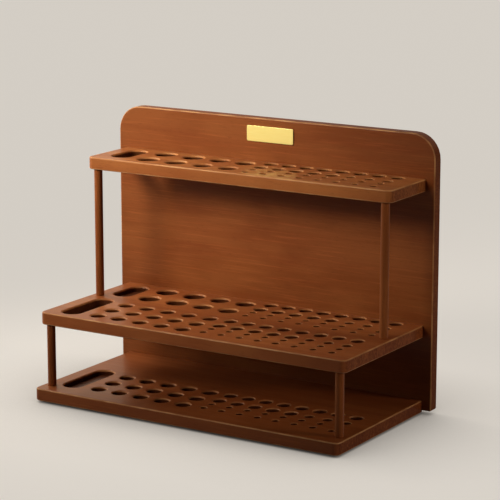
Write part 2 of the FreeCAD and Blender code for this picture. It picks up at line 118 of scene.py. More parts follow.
towards_camera = Vector((math.sin(CAMERA_AZIMUTH) * math.cos(CAMERA_ELEVATION),
                         -math.cos(CAMERA_AZIMUTH) * math.cos(CAMERA_ELEVATION),
                         math.sin(CAMERA_ELEVATION)))
camera = bpy.data.objects.new("camera", bpy.data.cameras.new("camera"))
camera.data.lens = CAMERA_LENS
camera.location = CAMERA_TARGET + towards_camera * CAMERA_DISTANCE
camera.rotation_euler = towards_camera.to_track_quat("Z", "Y").to_euler()
bpy.context.scene.collection.objects.link(camera)
bpy.context.scene.camera = camera
print("camera at", [round(v, 3) for v in camera.location])

# %% [markdown]
# ## Stained wood under satin lacquer
# The boards are a fine-grained hardwood such as beech, wiped with a red-brown stain and sprayed
# thinly with satin lacquer. The stain sinks unevenly, so the colour drifts in soft patches, runs
# in long streaks with the grain and gathers in short dark pores. Rounded edges get pale lines in
# longer and shorter stretches, partly rub-through and partly a painted highlight. End grain drinks
# more stain and stays dull, and painted shade makes the walls of holes almost black. Each board is
# cut from another plank and takes the stain in its own way, and the stains are also graded as
# painted light from above: lighter on the top shelf, darker on the base, darker still on the
# panel. The slim posts get hardly any lacquer, which keeps their colour warm.
#
# A flat photograph of wood would not follow a board round its corners, so the pattern is built in
# space: noise stretched along the grain cuts through the whole piece, and faces, ends and holes
# show the same streaks. The stain itself is matt, so the wood's own gloss is set low, and a thin
# clear coat over it carries the sheen.

# %% Wood
STREAK = Vector((240, 8, 30)) * MM      # long growth streaks: along, across and through the board
FIBRE = Vector((45, 1.3, 2.4)) * MM     # fine fibre lines, drawn coarser than life to show
PORE = Vector((7, 0.8, 0.8)) * MM       # pores, also drawn wider than life
PATCH = Vector((90, 45, 45)) * MM       # drift of the stain
RUB_AND_HIGHLIGHT_STRETCH = Vector((22, 22, 22)) * MM        # longer and shorter stretches of an edge's rub-through and painted highlight
PORE_DEPTH = 0.05 * MM
STREAK_TONE, FIBRE_TONE, PORE_TONE = "#7C3B18", "#B56733", "#552612"
# the hole tone is painted shade on the walls of holes; the pale edge tone is partly rub-through,
# partly painted highlight
END_TONE, HOLE_SHADE_TONE, RUB_AND_HIGHLIGHT_TONE = "#5E2D16", "#2E140A", "#D29C66"
NOISE_SPAN, NOISE_CORE = (0.3, 0.7), (0.35, 0.65)   # a wide and a narrow range of a noise
STREAK_SPAN, FIBRE_SPAN, PORE_SPAN = (0.35, 0.68), (0.5, 0.75), (0.60, 0.72)
STREAK_SHARE, FIBRE_SHARE, PORE_SHARE, HOLE_SHADE_SHARE = 0.35, 0.3, 0.2, 0.8  # strength of each tone
END_LEAN, END_SHARE = (0.7, 1.0), (0.7, 0.2)        # how far a face looks along the grain
SIDE_LEAN, FACE_LEAN = (0.05, 0.35), (0.85, 0.99)   # where a rounded edge begins and ends
# pale edge lines, partly rub-through and partly a painted highlight, at half strength on hole rims
RUB_AND_HIGHLIGHT_SHARE, RIM_RUB_AND_HIGHLIGHT = (0.35, 0.85), 0.5
SWIRL, RELIEF = 0.3, 0.35               # the noise's distortion and the bump's strength
SATIN, DULL = (0.38, 0.48), 0.95        # roughness of a face and of end grain
WOOD_IOR, STAIN_GLOSS = 1.5, 0.09       # as resin and cellulose; the stain keeps the gloss low
LACQUER_IOR, LACQUER_ROUGHNESS = 1.5, 0.18
INSIDE, RIM_MARK = "drilled", 0.5       # attribute: one in a hole, a half on its rim, else zero


def stained_wood(name, stain, shift, turn=(0, 0, 0), rub_and_highlight_strength=1.0, coat=0.08):
    """Wood with its grain along X, its thickness along Z, moved and turned to suit a piece."""
    material = bpy.data.materials.new(name)
    material.use_nodes = True
    tree = material.node_tree
    shader = tree.nodes["Principled BSDF"]
    place = add(tree, "ShaderNodeTexCoord")
    board = add(tree, "ShaderNodeMapping", {"Vector": place.outputs["Object"], "Rotation": turn,
                                            "Location": Vector(shift) * MM})
    facing = add(tree, "ShaderNodeMapping", {"Vector": place.outputs["Normal"], "Rotation": turn},
                 vector_type="NORMAL")
    side = add(tree, "ShaderNodeSeparateXYZ", {"Vector": facing.outputs["Vector"]})

    def stretched_noise(size, detail):
        spread = add(tree, "ShaderNodeVectorMath", (board, [1 / length for length in size]),
                     operation="MULTIPLY")
        return add(tree, "ShaderNodeTexNoise", {"Vector": spread, "Scale": 1.0, "Detail": detail,
                                                "Distortion": SWIRL})

    # Slow drift, long streaks, light fibre lines and dark pores: the eye reads these as one plank.
    soft = {"interpolation_type": "SMOOTHSTEP"}
    fibre = stretched_noise(FIBRE, 4)
    patch = add(tree, "ShaderNodeMapRange", (stretched_noise(PATCH, 2), *NOISE_CORE), **soft)
    streak = add(tree, "ShaderNodeMapRange", (stretched_noise(STREAK, 3), *STREAK_SPAN), **soft)
    streaked = add(tree, "ShaderNodeMapRange", (streak, 0, 1, 0, STREAK_SHARE), **soft)
    lightened = add(tree, "ShaderNodeMapRange", (fibre, *FIBRE_SPAN, 0, FIBRE_SHARE), **soft)
    pore = add(tree, "ShaderNodeMapRange", (stretched_noise(PORE, 1), *PORE_SPAN), **soft)
    pored = add(tree, "ShaderNodeMapRange", (pore, 0, 1, 0, PORE_SHARE), **soft)

    # End grain is darker, speckled by its fibres, and painted shade makes the walls of holes almost
    # black.
    along = add(tree, "ShaderNodeMath", (side.outputs["X"],), operation="ABSOLUTE")
    end_face = add(tree, "ShaderNodeMapRange", (along, *END_LEAN), **soft)
    speckle = add(tree, "ShaderNodeMapRange", (fibre, *NOISE_CORE, *END_SHARE), **soft)
    end_grain = add(tree, "ShaderNodeMath", (end_face, speckle), operation="MULTIPLY")
    inside = add(tree, "ShaderNodeAttribute", attribute_name=INSIDE).outputs["Fac"]
    # painted shade: the walls of holes darken towards the hole tone, rims stay as they are
    painted_wall_shade = add(tree, "ShaderNodeMapRange", (inside, RIM_MARK, 1, 0, HOLE_SHADE_SHARE), **soft)

    # Edges get pale lines, partly rub-through and partly a painted highlight.
    # An edge is where the surface leans between side and face.
    tilt = add(tree, "ShaderNodeMath", (side.outputs["Z"],), operation="ABSOLUTE")
    past_side = add(tree, "ShaderNodeMapRange", (tilt, *SIDE_LEAN), **soft)
    before_face = add(tree, "ShaderNodeMapRange", (tilt, *FACE_LEAN, 1, 0), **soft)
    # the painted highlight and rub-through vary in stretches along an edge, at half strength on
    # rims
    rub_and_highlight_range = [share * rub_and_highlight_strength for share in RUB_AND_HIGHLIGHT_SHARE]
    rub_and_highlight_stretches = add(tree, "ShaderNodeMapRange",
               (stretched_noise(RUB_AND_HIGHLIGHT_STRETCH, 2), *NOISE_CORE, *rub_and_highlight_range), **soft)
    on_rim = add(tree, "ShaderNodeMapRange", (inside, 0, RIM_MARK, 1, RIM_RUB_AND_HIGHLIGHT), **soft)
    edge_rub_and_highlight = past_side
    for share in (before_face, rub_and_highlight_stretches, on_rim):
        edge_rub_and_highlight = add(tree, "ShaderNodeMath", (edge_rub_and_highlight, share), operation="MULTIPLY")

    colour = linear(stain[0])
    for tone, share in ((stain[1], patch), (STREAK_TONE, streaked), (FIBRE_TONE, lightened),
                        (PORE_TONE, pored), (END_TONE, end_grain), (HOLE_SHADE_TONE, painted_wall_shade),
                        (RUB_AND_HIGHLIGHT_TONE, edge_rub_and_highlight)):
        colour = add(tree, "ShaderNodeMix",
                     {"Factor": share, COLOUR_A: colour, COLOUR_B: linear(tone)}, data_type="RGBA")
    tree.links.new(colour.outputs[COLOUR_OUT], shader.inputs["Base Color"])

    # Fibres and pores break up the sheen a little, as they do under thin lacquer.
    height = add(tree, "ShaderNodeMath", (fibre, pore), operation="SUBTRACT")
    bump = add(tree, "ShaderNodeBump",
               {"Height": height, "Strength": RELIEF, "Distance": PORE_DEPTH})
    satin = add(tree, "ShaderNodeMapRange", (fibre, *NOISE_SPAN, *SATIN), **soft)
    dull_end = add(tree, "ShaderNodeMapRange", (along, *END_LEAN, 0, DULL), **soft)
    rough = add(tree, "ShaderNodeMath", (satin, dull_end), operation="MAXIMUM")
    tree.links.new(rough.outputs[0], shader.inputs["Roughness"])
    tree.links.new(bump.outputs["Normal"], shader.inputs["Normal"])
    shader.inputs["IOR"].default_value = WOOD_IOR
    shader.inputs["Specular IOR Level"].default_value = STAIN_GLOSS
    shader.inputs["Coat Weight"].default_value = coat
    shader.inputs["Coat Roughness"].default_value = LACQUER_ROUGHNESS
    shader.inputs["Coat IOR"].default_value = LACQUER_IOR
    return material


UPRIGHT = (math.pi / 2, 0, 0)           # a panel's thickness lies along Y
STANDING = (0, math.pi / 2, 0)          # a post's grain runs up
# The stains are partly graded as painted light from above: lightest on the top shelf, darker down
# to the base, darkest on the panel.
wood = {
    "back_panel": stained_wood("stained_beech_panel", ("#8D5026", "#7F441E"), (0, 0, 0), UPRIGHT),
    "top_shelf": stained_wood("stained_beech_top", ("#AE6C38", "#A05D2E"), (410, 130, 55)),
    "middle_shelf": stained_wood("stained_beech_middle", ("#A46031", "#965228"), (-730, 260, 90)),
    "base_board": stained_wood("stained_beech_base", ("#98552B", "#8A4922"), (1150, -340, 20)),
    "posts": stained_wood("stained_beech_posts", ("#94562B", "#864A22"), (90, 600, 0), STANDING,
                          rub_and_highlight_strength=0.0, coat=0.02),
}
print("wood finishes:", ", ".join(m.name for m in wood.values()))

# %% [markdown]
# ## Metals, rubber and tape
# The plate is satin brass: yellow metal, brushed along its length, so its gloss is drawn out
# across the strokes. The screws are zinc-plated steel, which is pale and slightly cloudy. Feet
# are moulded black rubber with a dusty, matt skin. The tape behind the plate is grey foam, and
# only its edge can be seen. Metals keep the shader's own IOR, since their colour sets the gloss.

# %% Metals, rubber and tape
BRUSH_STROKE = Vector((14, 1, 0.25)) * MM   # strokes drawn wider than life so that they show
BRUSH_DEPTH = 0.01 * MM
ZINC_CLOUD, ZINC_DEPTH = 1.2 * MM, 0.01 * MM
RUBBER_DUST, RUBBER_DEPTH = 0.8 * MM, 0.02 * MM
FOAM_CELL, FOAM_DEPTH = 0.3 * MM, 0.05 * MM
FINE_RELIEF = 0.3                       # strength of these finishes' bump


def grained(name, colours, size, roughness, bump_depth, metallic=0.0):
    """A finish that drifts between two colours and two roughnesses over a stretched noise."""
    material = bpy.data.materials.new(name)
    material.use_nodes = True
    tree = material.node_tree
    shader = tree.nodes["Principled BSDF"]
    place = add(tree, "ShaderNodeTexCoord")
    spread = add(tree, "ShaderNodeVectorMath",
                 (place.outputs["Object"], [1 / length for length in size]), operation="MULTIPLY")
    noise = add(tree, "ShaderNodeTexNoise", {"Vector": spread, "Scale": 1.0, "Detail": 3.0})
    colour = add(tree, "ShaderNodeMix", {"Factor": noise, COLOUR_A: linear(colours[0]),
                                         COLOUR_B: linear(colours[1])}, data_type="RGBA")
    rough = add(tree, "ShaderNodeMapRange", (noise, *NOISE_SPAN, *roughness))
    bump = add(tree, "ShaderNodeBump",
               {"Height": noise, "Strength": FINE_RELIEF, "Distance": bump_depth})
    tree.links.new(colour.outputs[COLOUR_OUT], shader.inputs["Base Color"])
    tree.links.new(rough.outputs["Result"], shader.inputs["Roughness"])
    tree.links.new(bump.outputs["Normal"], shader.inputs["Normal"])
    shader.inputs["Metallic"].default_value = metallic
    return material


brass = grained("satin_brushed_brass", ("#F8E99A", "#F0D97A"), BRUSH_STROKE, (0.38, 0.5),
                BRUSH_DEPTH, metallic=1.0)
zinc = grained("zinc_plated_steel", ("#C9CACB", "#A9ABAF"), (ZINC_CLOUD,) * 3, (0.25, 0.45),
               ZINC_DEPTH, metallic=1.0)
rubber = grained("moulded_black_rubber", ("#1C1B1A", "#2A2927"), (RUBBER_DUST,) * 3, (0.7, 0.85),
                 RUBBER_DEPTH)
foam = grained("grey_foam_tape", ("#8F8E8A", "#7B7A76"), (FOAM_CELL,) * 3, (0.8, 0.95), FOAM_DEPTH)
print("other finishes:", ", ".join(m.name for m in (brass, zinc, rubber, foam)))

# %% [markdown]
# ## Boards and panel with softened edges
# Every flat piece is a rounded rectangle with a small round along its edges. A bevel modifier
# could soften a box, but stacked outlines give full control: each outline is drawn in a little
# from the piece's side, by as much as a quarter circle asks for at that height, and neighbouring
# outlines are joined with quads. The result is closed, which the drilling below needs.

# %% Slabs
CORNER_STEPS = 8
EDGE_STEPS = 4


def outline(low, high, radii, inset):
    """Points round a rectangle, drawn in by an inset, anticlockwise.

    A corner without a radius is sharp, and is drawn in sideways only.
    """
    corners = ((low[0], low[1], 1, 1), (high[0], low[1], -1, 1),
               (high[0], high[1], -1, -1), (low[0], high[1], 1, -1))
    points = []
    for quarter, ((u, v, to_u, to_v), radius) in enumerate(zip(corners, radii)):
        if not radius:
            points.append((u + to_u * inset, v))
            continue
        for step in range(CORNER_STEPS + 1):
            angle = math.pi + (quarter + step / CORNER_STEPS) * math.pi / 2
            points.append((u + to_u * radius + (radius - inset) * math.cos(angle),
                           v + to_v * radius + (radius - inset) * math.sin(angle)))
    return points


def slab(name, low, high, radii, near, far, edge, place):
    """A closed slab between two heights; place turns (u, v, height) into a point in space."""
    quarter = [math.pi / 2 * step / EDGE_STEPS for step in range(EDGE_STEPS + 1)]
    rounds = [(edge * (1 - math.sin(a)), edge * (1 - math.cos(a))) for a in quarter]
    levels = [(inset, near + rise) for inset, rise in rounds]
    levels += [(inset, far - rise) for inset, rise in reversed(rounds)]
    mesh = bmesh.new()
    rings = [[mesh.verts.new(place(u, v, height)) for u, v in outline(low, high, radii, inset)]
             for inset, height in levels]
    for lower, upper in zip(rings, rings[1:]):
        for i in range(len(lower)):
            j = (i + 1) % len(lower)
            mesh.faces.new((lower[i], lower[j], upper[j], upper[i]))
    mesh.faces.new(rings[0])
    mesh.faces.new(rings[-1])
    bmesh.ops.recalc_face_normals(mesh, faces=mesh.faces)
    data = bpy.data.meshes.new(name)
    mesh.to_mesh(data)
    mesh.free()
    piece = bpy.data.objects.new(name, data)
    bpy.context.scene.collection.objects.link(piece)
    return piece


def lying(u, v, height):
    """Places a board, whose thickness lies along Z."""
    return (u, v, height)


def upright(u, v, height):
    """Places the panel or the plate, whose thickness lies along Y."""
    return (u, height, v)


EDGE_ROUND = 1.5 * MM
BOARD_CORNER = 6 * MM
PANEL_CORNER = 24 * MM
PANEL_FOOT_CORNER = 2 * MM

boards = {}
for node in ("top_shelf", "middle_shelf", "base_board"):
    low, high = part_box(node)
    boards[node] = slab(node + "_wood", low.xy, high.xy, [BOARD_CORNER] * 2 + [0] * 2,
                        low.z, high.z, EDGE_ROUND, lying)
low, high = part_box("back_panel")
panel = slab("back_panel_wood", (low.x, low.z), (high.x, high.z),
             [PANEL_FOOT_CORNER] * 2 + [PANEL_CORNER] * 2, low.y, high.y, EDGE_ROUND, upright)
print("slabs:", [p.name for p in (*boards.values(), panel)])

# %% [markdown]
# ## Drilling by rule
# The perforated boards are what makes this stand, and their holes follow a few rules: columns and
# rows at even steps. Cutting each hole by hand would be slow and hard to change, so one Geometry
# Nodes tree does the drilling. It turns a cutter from a rule for its radius at each height, with
# a rounded or straight flare at the mouth, sets copies of it on a grid of points, and takes them
# out of the board. A slot is the same cutter pulled apart along its length. The cutter's faces
# carry a number that stays on the faces they leave behind, and the wood finish reads it to tell
# the wall and the rim of a hole from the rest of the board.

# %% Drilling tree
CUTTER_SIDES = 48
OVERSHOOT = 1 * MM                      # how far a cutter stands proud of the face


def drilling_tree():
    """A cutter of a given profile, set on a grid and taken out of a board."""
    tree = bpy.data.node_groups.new("drilled_grid", "GeometryNodeTree")
    sockets = (("Board", "Geometry"), ("First Hole", "Vector"), ("Turn", "Rotation"),
               ("Columns", "Int"), ("Column Step", "Float"), ("Rows", "Int"), ("Row Step", "Float"),
               ("Diameter", "Float"), ("Slot Reach", "Float"), ("Depth", "Float"),
               ("Flare", "Float"), ("Flare Steps", "Int"), ("Material", "Material"))
    for name, kind in sockets:
        tree.interface.new_socket(name, in_out="INPUT", socket_type="NodeSocket" + kind)
    tree.interface.new_socket("Board", in_out="OUTPUT", socket_type="NodeSocketGeometry")
    given = add(tree, "NodeGroupInput").outputs
    index = add(tree, "GeometryNodeInputIndex")

    # The profile: a point above the face, the flare's quarter turn, and a point at full depth.
    last = add(tree, "ShaderNodeMath", (given["Flare Steps"], 2.0), operation="ADD")
    flare_end = add(tree, "ShaderNodeMath", (last, 1.0), operation="SUBTRACT")
    turn = add(tree, "ShaderNodeMapRange", (index, 1.0, flare_end, 0.0, math.pi / 2))
    sine = add(tree, "ShaderNodeMath", (turn,), operation="SINE")
    drawn_in = add(tree, "ShaderNodeMath", (1.0, sine), operation="SUBTRACT")
    half_width = add(tree, "ShaderNodeMath", (given["Diameter"], 2.0), operation="DIVIDE")
    radius = add(tree, "ShaderNodeMath", (given["Flare"], drawn_in, half_width),
                 operation="MULTIPLY_ADD")
    is_first = add(tree, "ShaderNodeMath", (index, 0.5), operation="LESS_THAN")
    proud = add(tree, "ShaderNodeMath", (is_first, OVERSHOOT), operation="MULTIPLY")
    cosine = add(tree, "ShaderNodeMath", (turn,), operation="COSINE")
    sunk = add(tree, "ShaderNodeMath", (cosine, 1.0), operation="SUBTRACT")
    flared = add(tree, "ShaderNodeMath", (given["Flare"], sunk, proud), operation="MULTIPLY_ADD")
    is_last = add(tree, "ShaderNodeMath", (index, flare_end), operation="GREATER_THAN")
    wall = add(tree, "ShaderNodeMath", (given["Flare"], given["Depth"]), operation="SUBTRACT")
    level = add(tree, "ShaderNodeMath", (is_last, wall, flared), operation="MULTIPLY_ADD")
    height = add(tree, "ShaderNodeCombineXYZ", {"Z": level})
    count = add(tree, "ShaderNodeMath", (last, 1.0), operation="ADD")

    line = add(tree, "GeometryNodeCurvePrimitiveLine")
    path = add(tree, "GeometryNodeResampleCurve",
               {"Curve": line.outputs["Curve"], "Count": count}, mode="COUNT")
    path = add(tree, "GeometryNodeSetPosition",
               {"Geometry": path.outputs["Curve"], "Position": height})
    circle = add(tree, "GeometryNodeCurvePrimitiveCircle",
                 {"Resolution": CUTTER_SIDES, "Radius": 1.0}, mode="RADIUS")
    half_step = add(tree, "GeometryNodeTransform", {
        "Geometry": circle.outputs["Curve"], "Rotation": Euler((0, 0, math.pi / CUTTER_SIDES))})
    cutter = add(tree, "GeometryNodeCurveToMesh", {
        "Curve": path.outputs["Geometry"], "Profile Curve": half_step.outputs["Geometry"],
        "Scale": radius, "Fill Caps": True})

    # A slot: each half of the cutter moves to its end. The mark: one on walls, a half on rims.
    position = add(tree, "GeometryNodeInputPosition")
    spot = add(tree, "ShaderNodeSeparateXYZ", {"Vector": position})
    end = add(tree, "ShaderNodeMath", (spot.outputs["Y"],), operation="SIGN")
    reach = add(tree, "ShaderNodeMath", (end, given["Slot Reach"]), operation="MULTIPLY")
    pulled = add(tree, "ShaderNodeCombineXYZ", {"Y": reach})
    cutter = add(tree, "GeometryNodeSetPosition",
                 {"Geometry": cutter.outputs["Mesh"], "Offset": pulled})
    rim_end = add(tree, "ShaderNodeMath", (given["Flare"], -1.0), operation="MULTIPLY")
    below_rim = add(tree, "ShaderNodeMath", (spot.outputs["Z"], rim_end), operation="LESS_THAN")
    mark = add(tree, "ShaderNodeMath", (below_rim, 1 - RIM_MARK, RIM_MARK),
               operation="MULTIPLY_ADD")
    # The wood finish reads this mark to paint shade on the walls and part of the edge highlight on
    # the rims.
    cutter = add(tree, "GeometryNodeStoreNamedAttribute", {
        "Geometry": cutter.outputs["Geometry"], "Name": INSIDE, "Value": mark},
        data_type="FLOAT", domain="FACE")

    # The grid: columns to the right, rows towards the front.
    column = add(tree, "ShaderNodeMath", (index, given["Columns"]), operation="FLOORED_MODULO")
    across = add(tree, "ShaderNodeMath", (column, given["Column Step"]), operation="MULTIPLY")
    in_rows = add(tree, "ShaderNodeMath", (index, given["Columns"]), operation="DIVIDE")
    row = add(tree, "ShaderNodeMath", (in_rows,), operation="FLOOR")
    forwards = add(tree, "ShaderNodeMath", (row, given["Row Step"]), operation="MULTIPLY")
    back = add(tree, "ShaderNodeMath", (forwards, -1.0), operation="MULTIPLY")
    place = add(tree, "ShaderNodeCombineXYZ", {"X": across, "Y": back})
    holes = add(tree, "ShaderNodeMath", (given["Columns"], given["Rows"]), operation="MULTIPLY")
    grid = add(tree, "GeometryNodePoints", {"Count": holes, "Position": place})
    cutters = add(tree, "GeometryNodeInstanceOnPoints",
                  {"Points": grid.outputs["Points"], "Instance": cutter.outputs["Geometry"]})
    placed = add(tree, "GeometryNodeTransform", {
        "Geometry": cutters.outputs["Instances"], "Translation": given["First Hole"],
        "Rotation": given["Turn"]})
    real = add(tree, "GeometryNodeRealizeInstances", {"Geometry": placed.outputs["Geometry"]})
    cut = add(tree, "GeometryNodeMeshBoolean",
              {"Mesh 1": given["Board"], "Mesh 2": real.outputs["Geometry"]},
              operation="DIFFERENCE", solver="MANIFOLD")
    finish = add(tree, "GeometryNodeSetMaterial",
                 {"Geometry": cut.outputs["Mesh"], "Material": given["Material"]})
    add(tree, "NodeGroupOutput", {"Board": finish.outputs["Geometry"]})
    return tree


drilling = drilling_tree()
drilling_inputs = {s.name: s.identifier for s in drilling.interface.items_tree
                   if s.in_out == "INPUT"}
print("drilling tree:", len(drilling.nodes), "nodes, inputs", ", ".join(drilling_inputs))

# %% [markdown]
# The boards share their hole sizes, so a drilling pass is described once as plain values and then
# given to a board as one more modifier. When all passes are stacked, the result is turned into a
# plain mesh: sharp corners are marked by their angle, and face-weighted normals keep the large
# faces flat beside the small rounds.

# %% Drilling passes
SHARP_ANGLE = math.radians(38)


def drill(piece, first, columns, step, diameter, depth, flare=0.0, rows=1, row_step=0.0,
          slot_reach=0.0, flare_steps=3, turn=(0, 0, 0), material=None):
    """One more pass of the drilling tree on a piece."""
    values = {"First Hole": first, "Turn": turn, "Columns": columns, "Column Step": step,
              "Rows": rows, "Row Step": row_step, "Diameter": diameter, "Slot Reach": slot_reach,
              "Depth": depth, "Flare": flare, "Flare Steps": flare_steps, "Material": material}
    modifier = piece.modifiers.new("drilling", "NODES")
    modifier.node_group = drilling
    for name, value in values.items():
        modifier[drilling_inputs[name]] = value


def baked(piece):
    """Turns a piece's modifiers into plain mesh with clean shading."""
    for weighted in (False, True):
        if weighted:
            modifier = piece.modifiers.new("flat_faces", "WEIGHTED_NORMAL")
            modifier.keep_sharp = True
            modifier.weight = 100
        graph = bpy.context.evaluated_depsgraph_get()
        mesh = bpy.data.meshes.new_from_object(piece.evaluated_get(graph), depsgraph=graph)
        piece.modifiers.clear()
        old = piece.data
        piece.data = mesh
        bpy.data.meshes.remove(old)
        if not weighted:
            mesh.shade_smooth()
            mesh.set_sharp_from_angle(angle=SHARP_ANGLE)
    return piece


def volume(piece):
    """A closed mesh's volume in cubic centimetres, positive when its faces point outwards."""
    mesh = bmesh.new()
    mesh.from_mesh(piece.data)
    cm3 = mesh.calc_volume(signed=True) * 1e6
    mesh.free()
    return cm3


print("a pass has", len(drilling_inputs) - 1, "values")

# %% [markdown]
# ## Where the holes are
# All columns are measured from the board's left side and all rows from the panel's face, because
# that is how a jig on the drill press would set them. The rear strip of holes is shared by the
# top shelf, where it goes through, and the middle shelf, where it is a row of recesses. The front
# strip is shared in the same way by the middle shelf and the base.

# %% Hole layout
SLOT_WIDTH = 20 * MM
WIDEST, WIDE, MEDIUM, SLIM, NARROW, FINE = (d * MM for d in (20.5, 18, 14, 12.5, 9, 6.5))
RIM_ROUND, RIM_SHARE = 1.8 * MM, 0.11   # a rim's widest round, and its share of a small hole
RECESS = 5 * MM
WIDEST_STEP, WIDE_STEP, WIDE_ROW_STEP = 31.7 * MM, 28.5 * MM, 30.4 * MM
MEDIUM_STEP = Vector((23.75, 22.9)) * MM
SLIM_STEP, FIRST_ROW_STEP, ROW_STEP = 19.2 * MM, 19 * MM, 13.5 * MM
WIDE_COLUMNS, MEDIUM_COLUMNS, SLIM_COLUMNS, SLIM_IN_SECOND_ROW = 2, 5, 8, 5
WIDE_ROWS, MEDIUM_ROWS, FINE_ROWS = 2, 3, 2
REAR_SLOT_REACH, FRONT_SLOT_REACH = 12 * MM, 24 * MM    # from a slot's middle to its end circles

left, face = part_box("top_shelf")[0].x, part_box("back_panel")[0].y
slot_x = left + 25.5 * MM
widest_x, wide_x = left + 57.75 * MM, left + 119.3 * MM
medium_x, slim_x = left + 54.8 * MM, left + 171.5 * MM
rear_middle, front_middle, front_slot_y = (face - d * MM for d in (32, 105, 103.5))
rear_slim_y, front_slim_y = (face - d * MM for d in (8.7, 80.5))


def drill_rimmed(piece, first, columns, step, diameter, **values):
    """A pass whose holes have a rounded rim."""
    flare = min(RIM_ROUND, RIM_SHARE * diameter)
    drill(piece, first, columns, step, diameter, flare=flare, **values)


def drill_small_rows(piece, first_y, top, **common):
    """Four rows of small holes: slim, slim with a few narrow, and two of fine ones."""
    second_y = first_y - FIRST_ROW_STEP
    narrow_x = slim_x + SLIM_IN_SECOND_ROW * SLIM_STEP
    narrow_columns = SLIM_COLUMNS - SLIM_IN_SECOND_ROW
    drill_rimmed(piece, (slim_x, first_y, top), SLIM_COLUMNS, SLIM_STEP, SLIM, **common)
    drill_rimmed(piece, (slim_x, second_y, top), SLIM_IN_SECOND_ROW, SLIM_STEP, SLIM, **common)
    drill_rimmed(piece, (narrow_x, second_y, top), narrow_columns, SLIM_STEP, NARROW, **common)
    drill_rimmed(piece, (slim_x, second_y - ROW_STEP, top), SLIM_COLUMNS, SLIM_STEP, FINE,
                 rows=FINE_ROWS, row_step=ROW_STEP, **common)


def drill_rear_strip(piece, top, **common):
    """The holes beside the panel: a slot, two sizes of wide holes and the small rows."""
    row_y = rear_middle + WIDE_ROW_STEP / 2
    drill_rimmed(piece, (slot_x, rear_middle, top), 1, 0.0, SLOT_WIDTH,
                 slot_reach=REAR_SLOT_REACH, **common)
    for first_x, step, diameter in ((widest_x, WIDEST_STEP, WIDEST), (wide_x, WIDE_STEP, WIDE)):
        drill_rimmed(piece, (first_x, row_y, top), WIDE_COLUMNS, step, diameter,
                     rows=WIDE_ROWS, row_step=WIDE_ROW_STEP, **common)
    drill_small_rows(piece, rear_slim_y, top, **common)


def drill_front_strip(piece, top, **common):
    """The holes in front of the top shelf: a long slot, medium holes and the small rows."""
    first_y = front_middle + MEDIUM_STEP.y
    drill_rimmed(piece, (slot_x, front_slot_y, top), 1, 0.0, SLOT_WIDTH,
                 slot_reach=FRONT_SLOT_REACH, **common)
    drill_rimmed(piece, (medium_x, first_y, top), MEDIUM_COLUMNS, MEDIUM_STEP.x, MEDIUM,
                 rows=MEDIUM_ROWS, row_step=MEDIUM_STEP.y, **common)
    drill_small_rows(piece, front_slim_y, top, **common)


print("first holes from the left side, mm:",
      [round((x - left) / MM, 1) for x in (slot_x, widest_x, wide_x, medium_x, slim_x)])

# %% [markdown]
# ## Drilling the three boards
# A through hole is drilled deeper than the board, a recess stops five millimetres down. From
# below come blind sockets for the posts' upper ends and countersunk holes for the screws that
# hold their feet. Those passes are turned over, so that the mouth of the cutter faces down.

# %% Drill the boards
POST_SOCKET, SOCKET_DEPTH = 8.2 * MM, 6.3 * MM
SEAT_HOLE, SEAT_FLARE = 3.2 * MM, 1.8 * MM
FROM_BELOW = (math.pi, 0, 0)

POST_RADIUS = 4 * MM
post_x, upper_post_y = (v - POST_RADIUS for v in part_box("upper_post_right")[1].xy)
lower_post_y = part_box("lower_post_right")[1].y - POST_RADIUS


def drill_pair(piece, y, bottom, diameter, depth, **values):
    """Two holes from below, one under each post of a pair."""
    drill(piece, (-post_x, y, bottom), 2, 2 * post_x, diameter, depth, turn=FROM_BELOW, **values)


for node, piece in boards.items():
    bottom, top = (corner.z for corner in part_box(node))
    through = top - bottom + OVERSHOOT
    finish = wood[node]
    seat = dict(flare=SEAT_FLARE, flare_steps=1, material=finish)
    if node == "top_shelf":
        drill_rear_strip(piece, top, depth=through, material=finish)
        drill_pair(piece, upper_post_y, bottom, POST_SOCKET, SOCKET_DEPTH, material=finish)
    if node == "middle_shelf":
        drill_rear_strip(piece, top, depth=RECESS, material=finish)
        drill_front_strip(piece, top, depth=through, material=finish)
        drill_pair(piece, lower_post_y, bottom, POST_SOCKET, SOCKET_DEPTH, material=finish)
        drill_pair(piece, upper_post_y, bottom, SEAT_HOLE, through, **seat)
    if node == "base_board":
        drill_front_strip(piece, top, depth=RECESS, material=finish)
        drill_pair(piece, lower_post_y, bottom, SEAT_HOLE, through, **seat)
    passes = len(piece.modifiers)
    baked(piece)
    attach(piece, "root")
    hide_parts(node)
    print(piece.name, passes, "passes,", len(piece.data.polygons), "faces,",
          round(volume(piece), 1), "cm3")

# %% [markdown]
# ## The back panel
# Six countersunk screws come through the panel from behind and hold the boards. Their holes use
# the same drilling tree, laid over so that the cutter's mouth faces the back.

# %% Drill the panel
PANEL_HOLE, PANEL_SEAT_FLARE = 3.7 * MM, 2.05 * MM
FROM_BEHIND = (-math.pi / 2, 0, 0)

panel_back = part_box("back_panel")[1].y
panel_screws = [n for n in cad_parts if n.startswith("panel_screw")]


def middle_of(node):
    """The middle of a node's box."""
    low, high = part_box(node)
    return (low + high) / 2


for node in panel_screws:
    centre = middle_of(node)
    drill(panel, (centre.x, panel_back, centre.z), 1, 0.0, PANEL_HOLE,
          panel_back - face + OVERSHOOT, flare=PANEL_SEAT_FLARE, flare_steps=1, turn=FROM_BEHIND,
          material=wood["back_panel"])
baked(panel)
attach(panel, "root")
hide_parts("back_panel")
print(panel.name, len(panel.data.polygons), "faces,", round(volume(panel), 1), "cm3")

# %% [markdown]
# ## Posts and feet
# The posts are plain dowels and the feet are low rubber discs, so both are turned shapes: a
# profile of radius and height, carried round an axis. The posts' ends are eased, which catches a
# thin line of light where a post stands on its board. The feet have rounded rims.

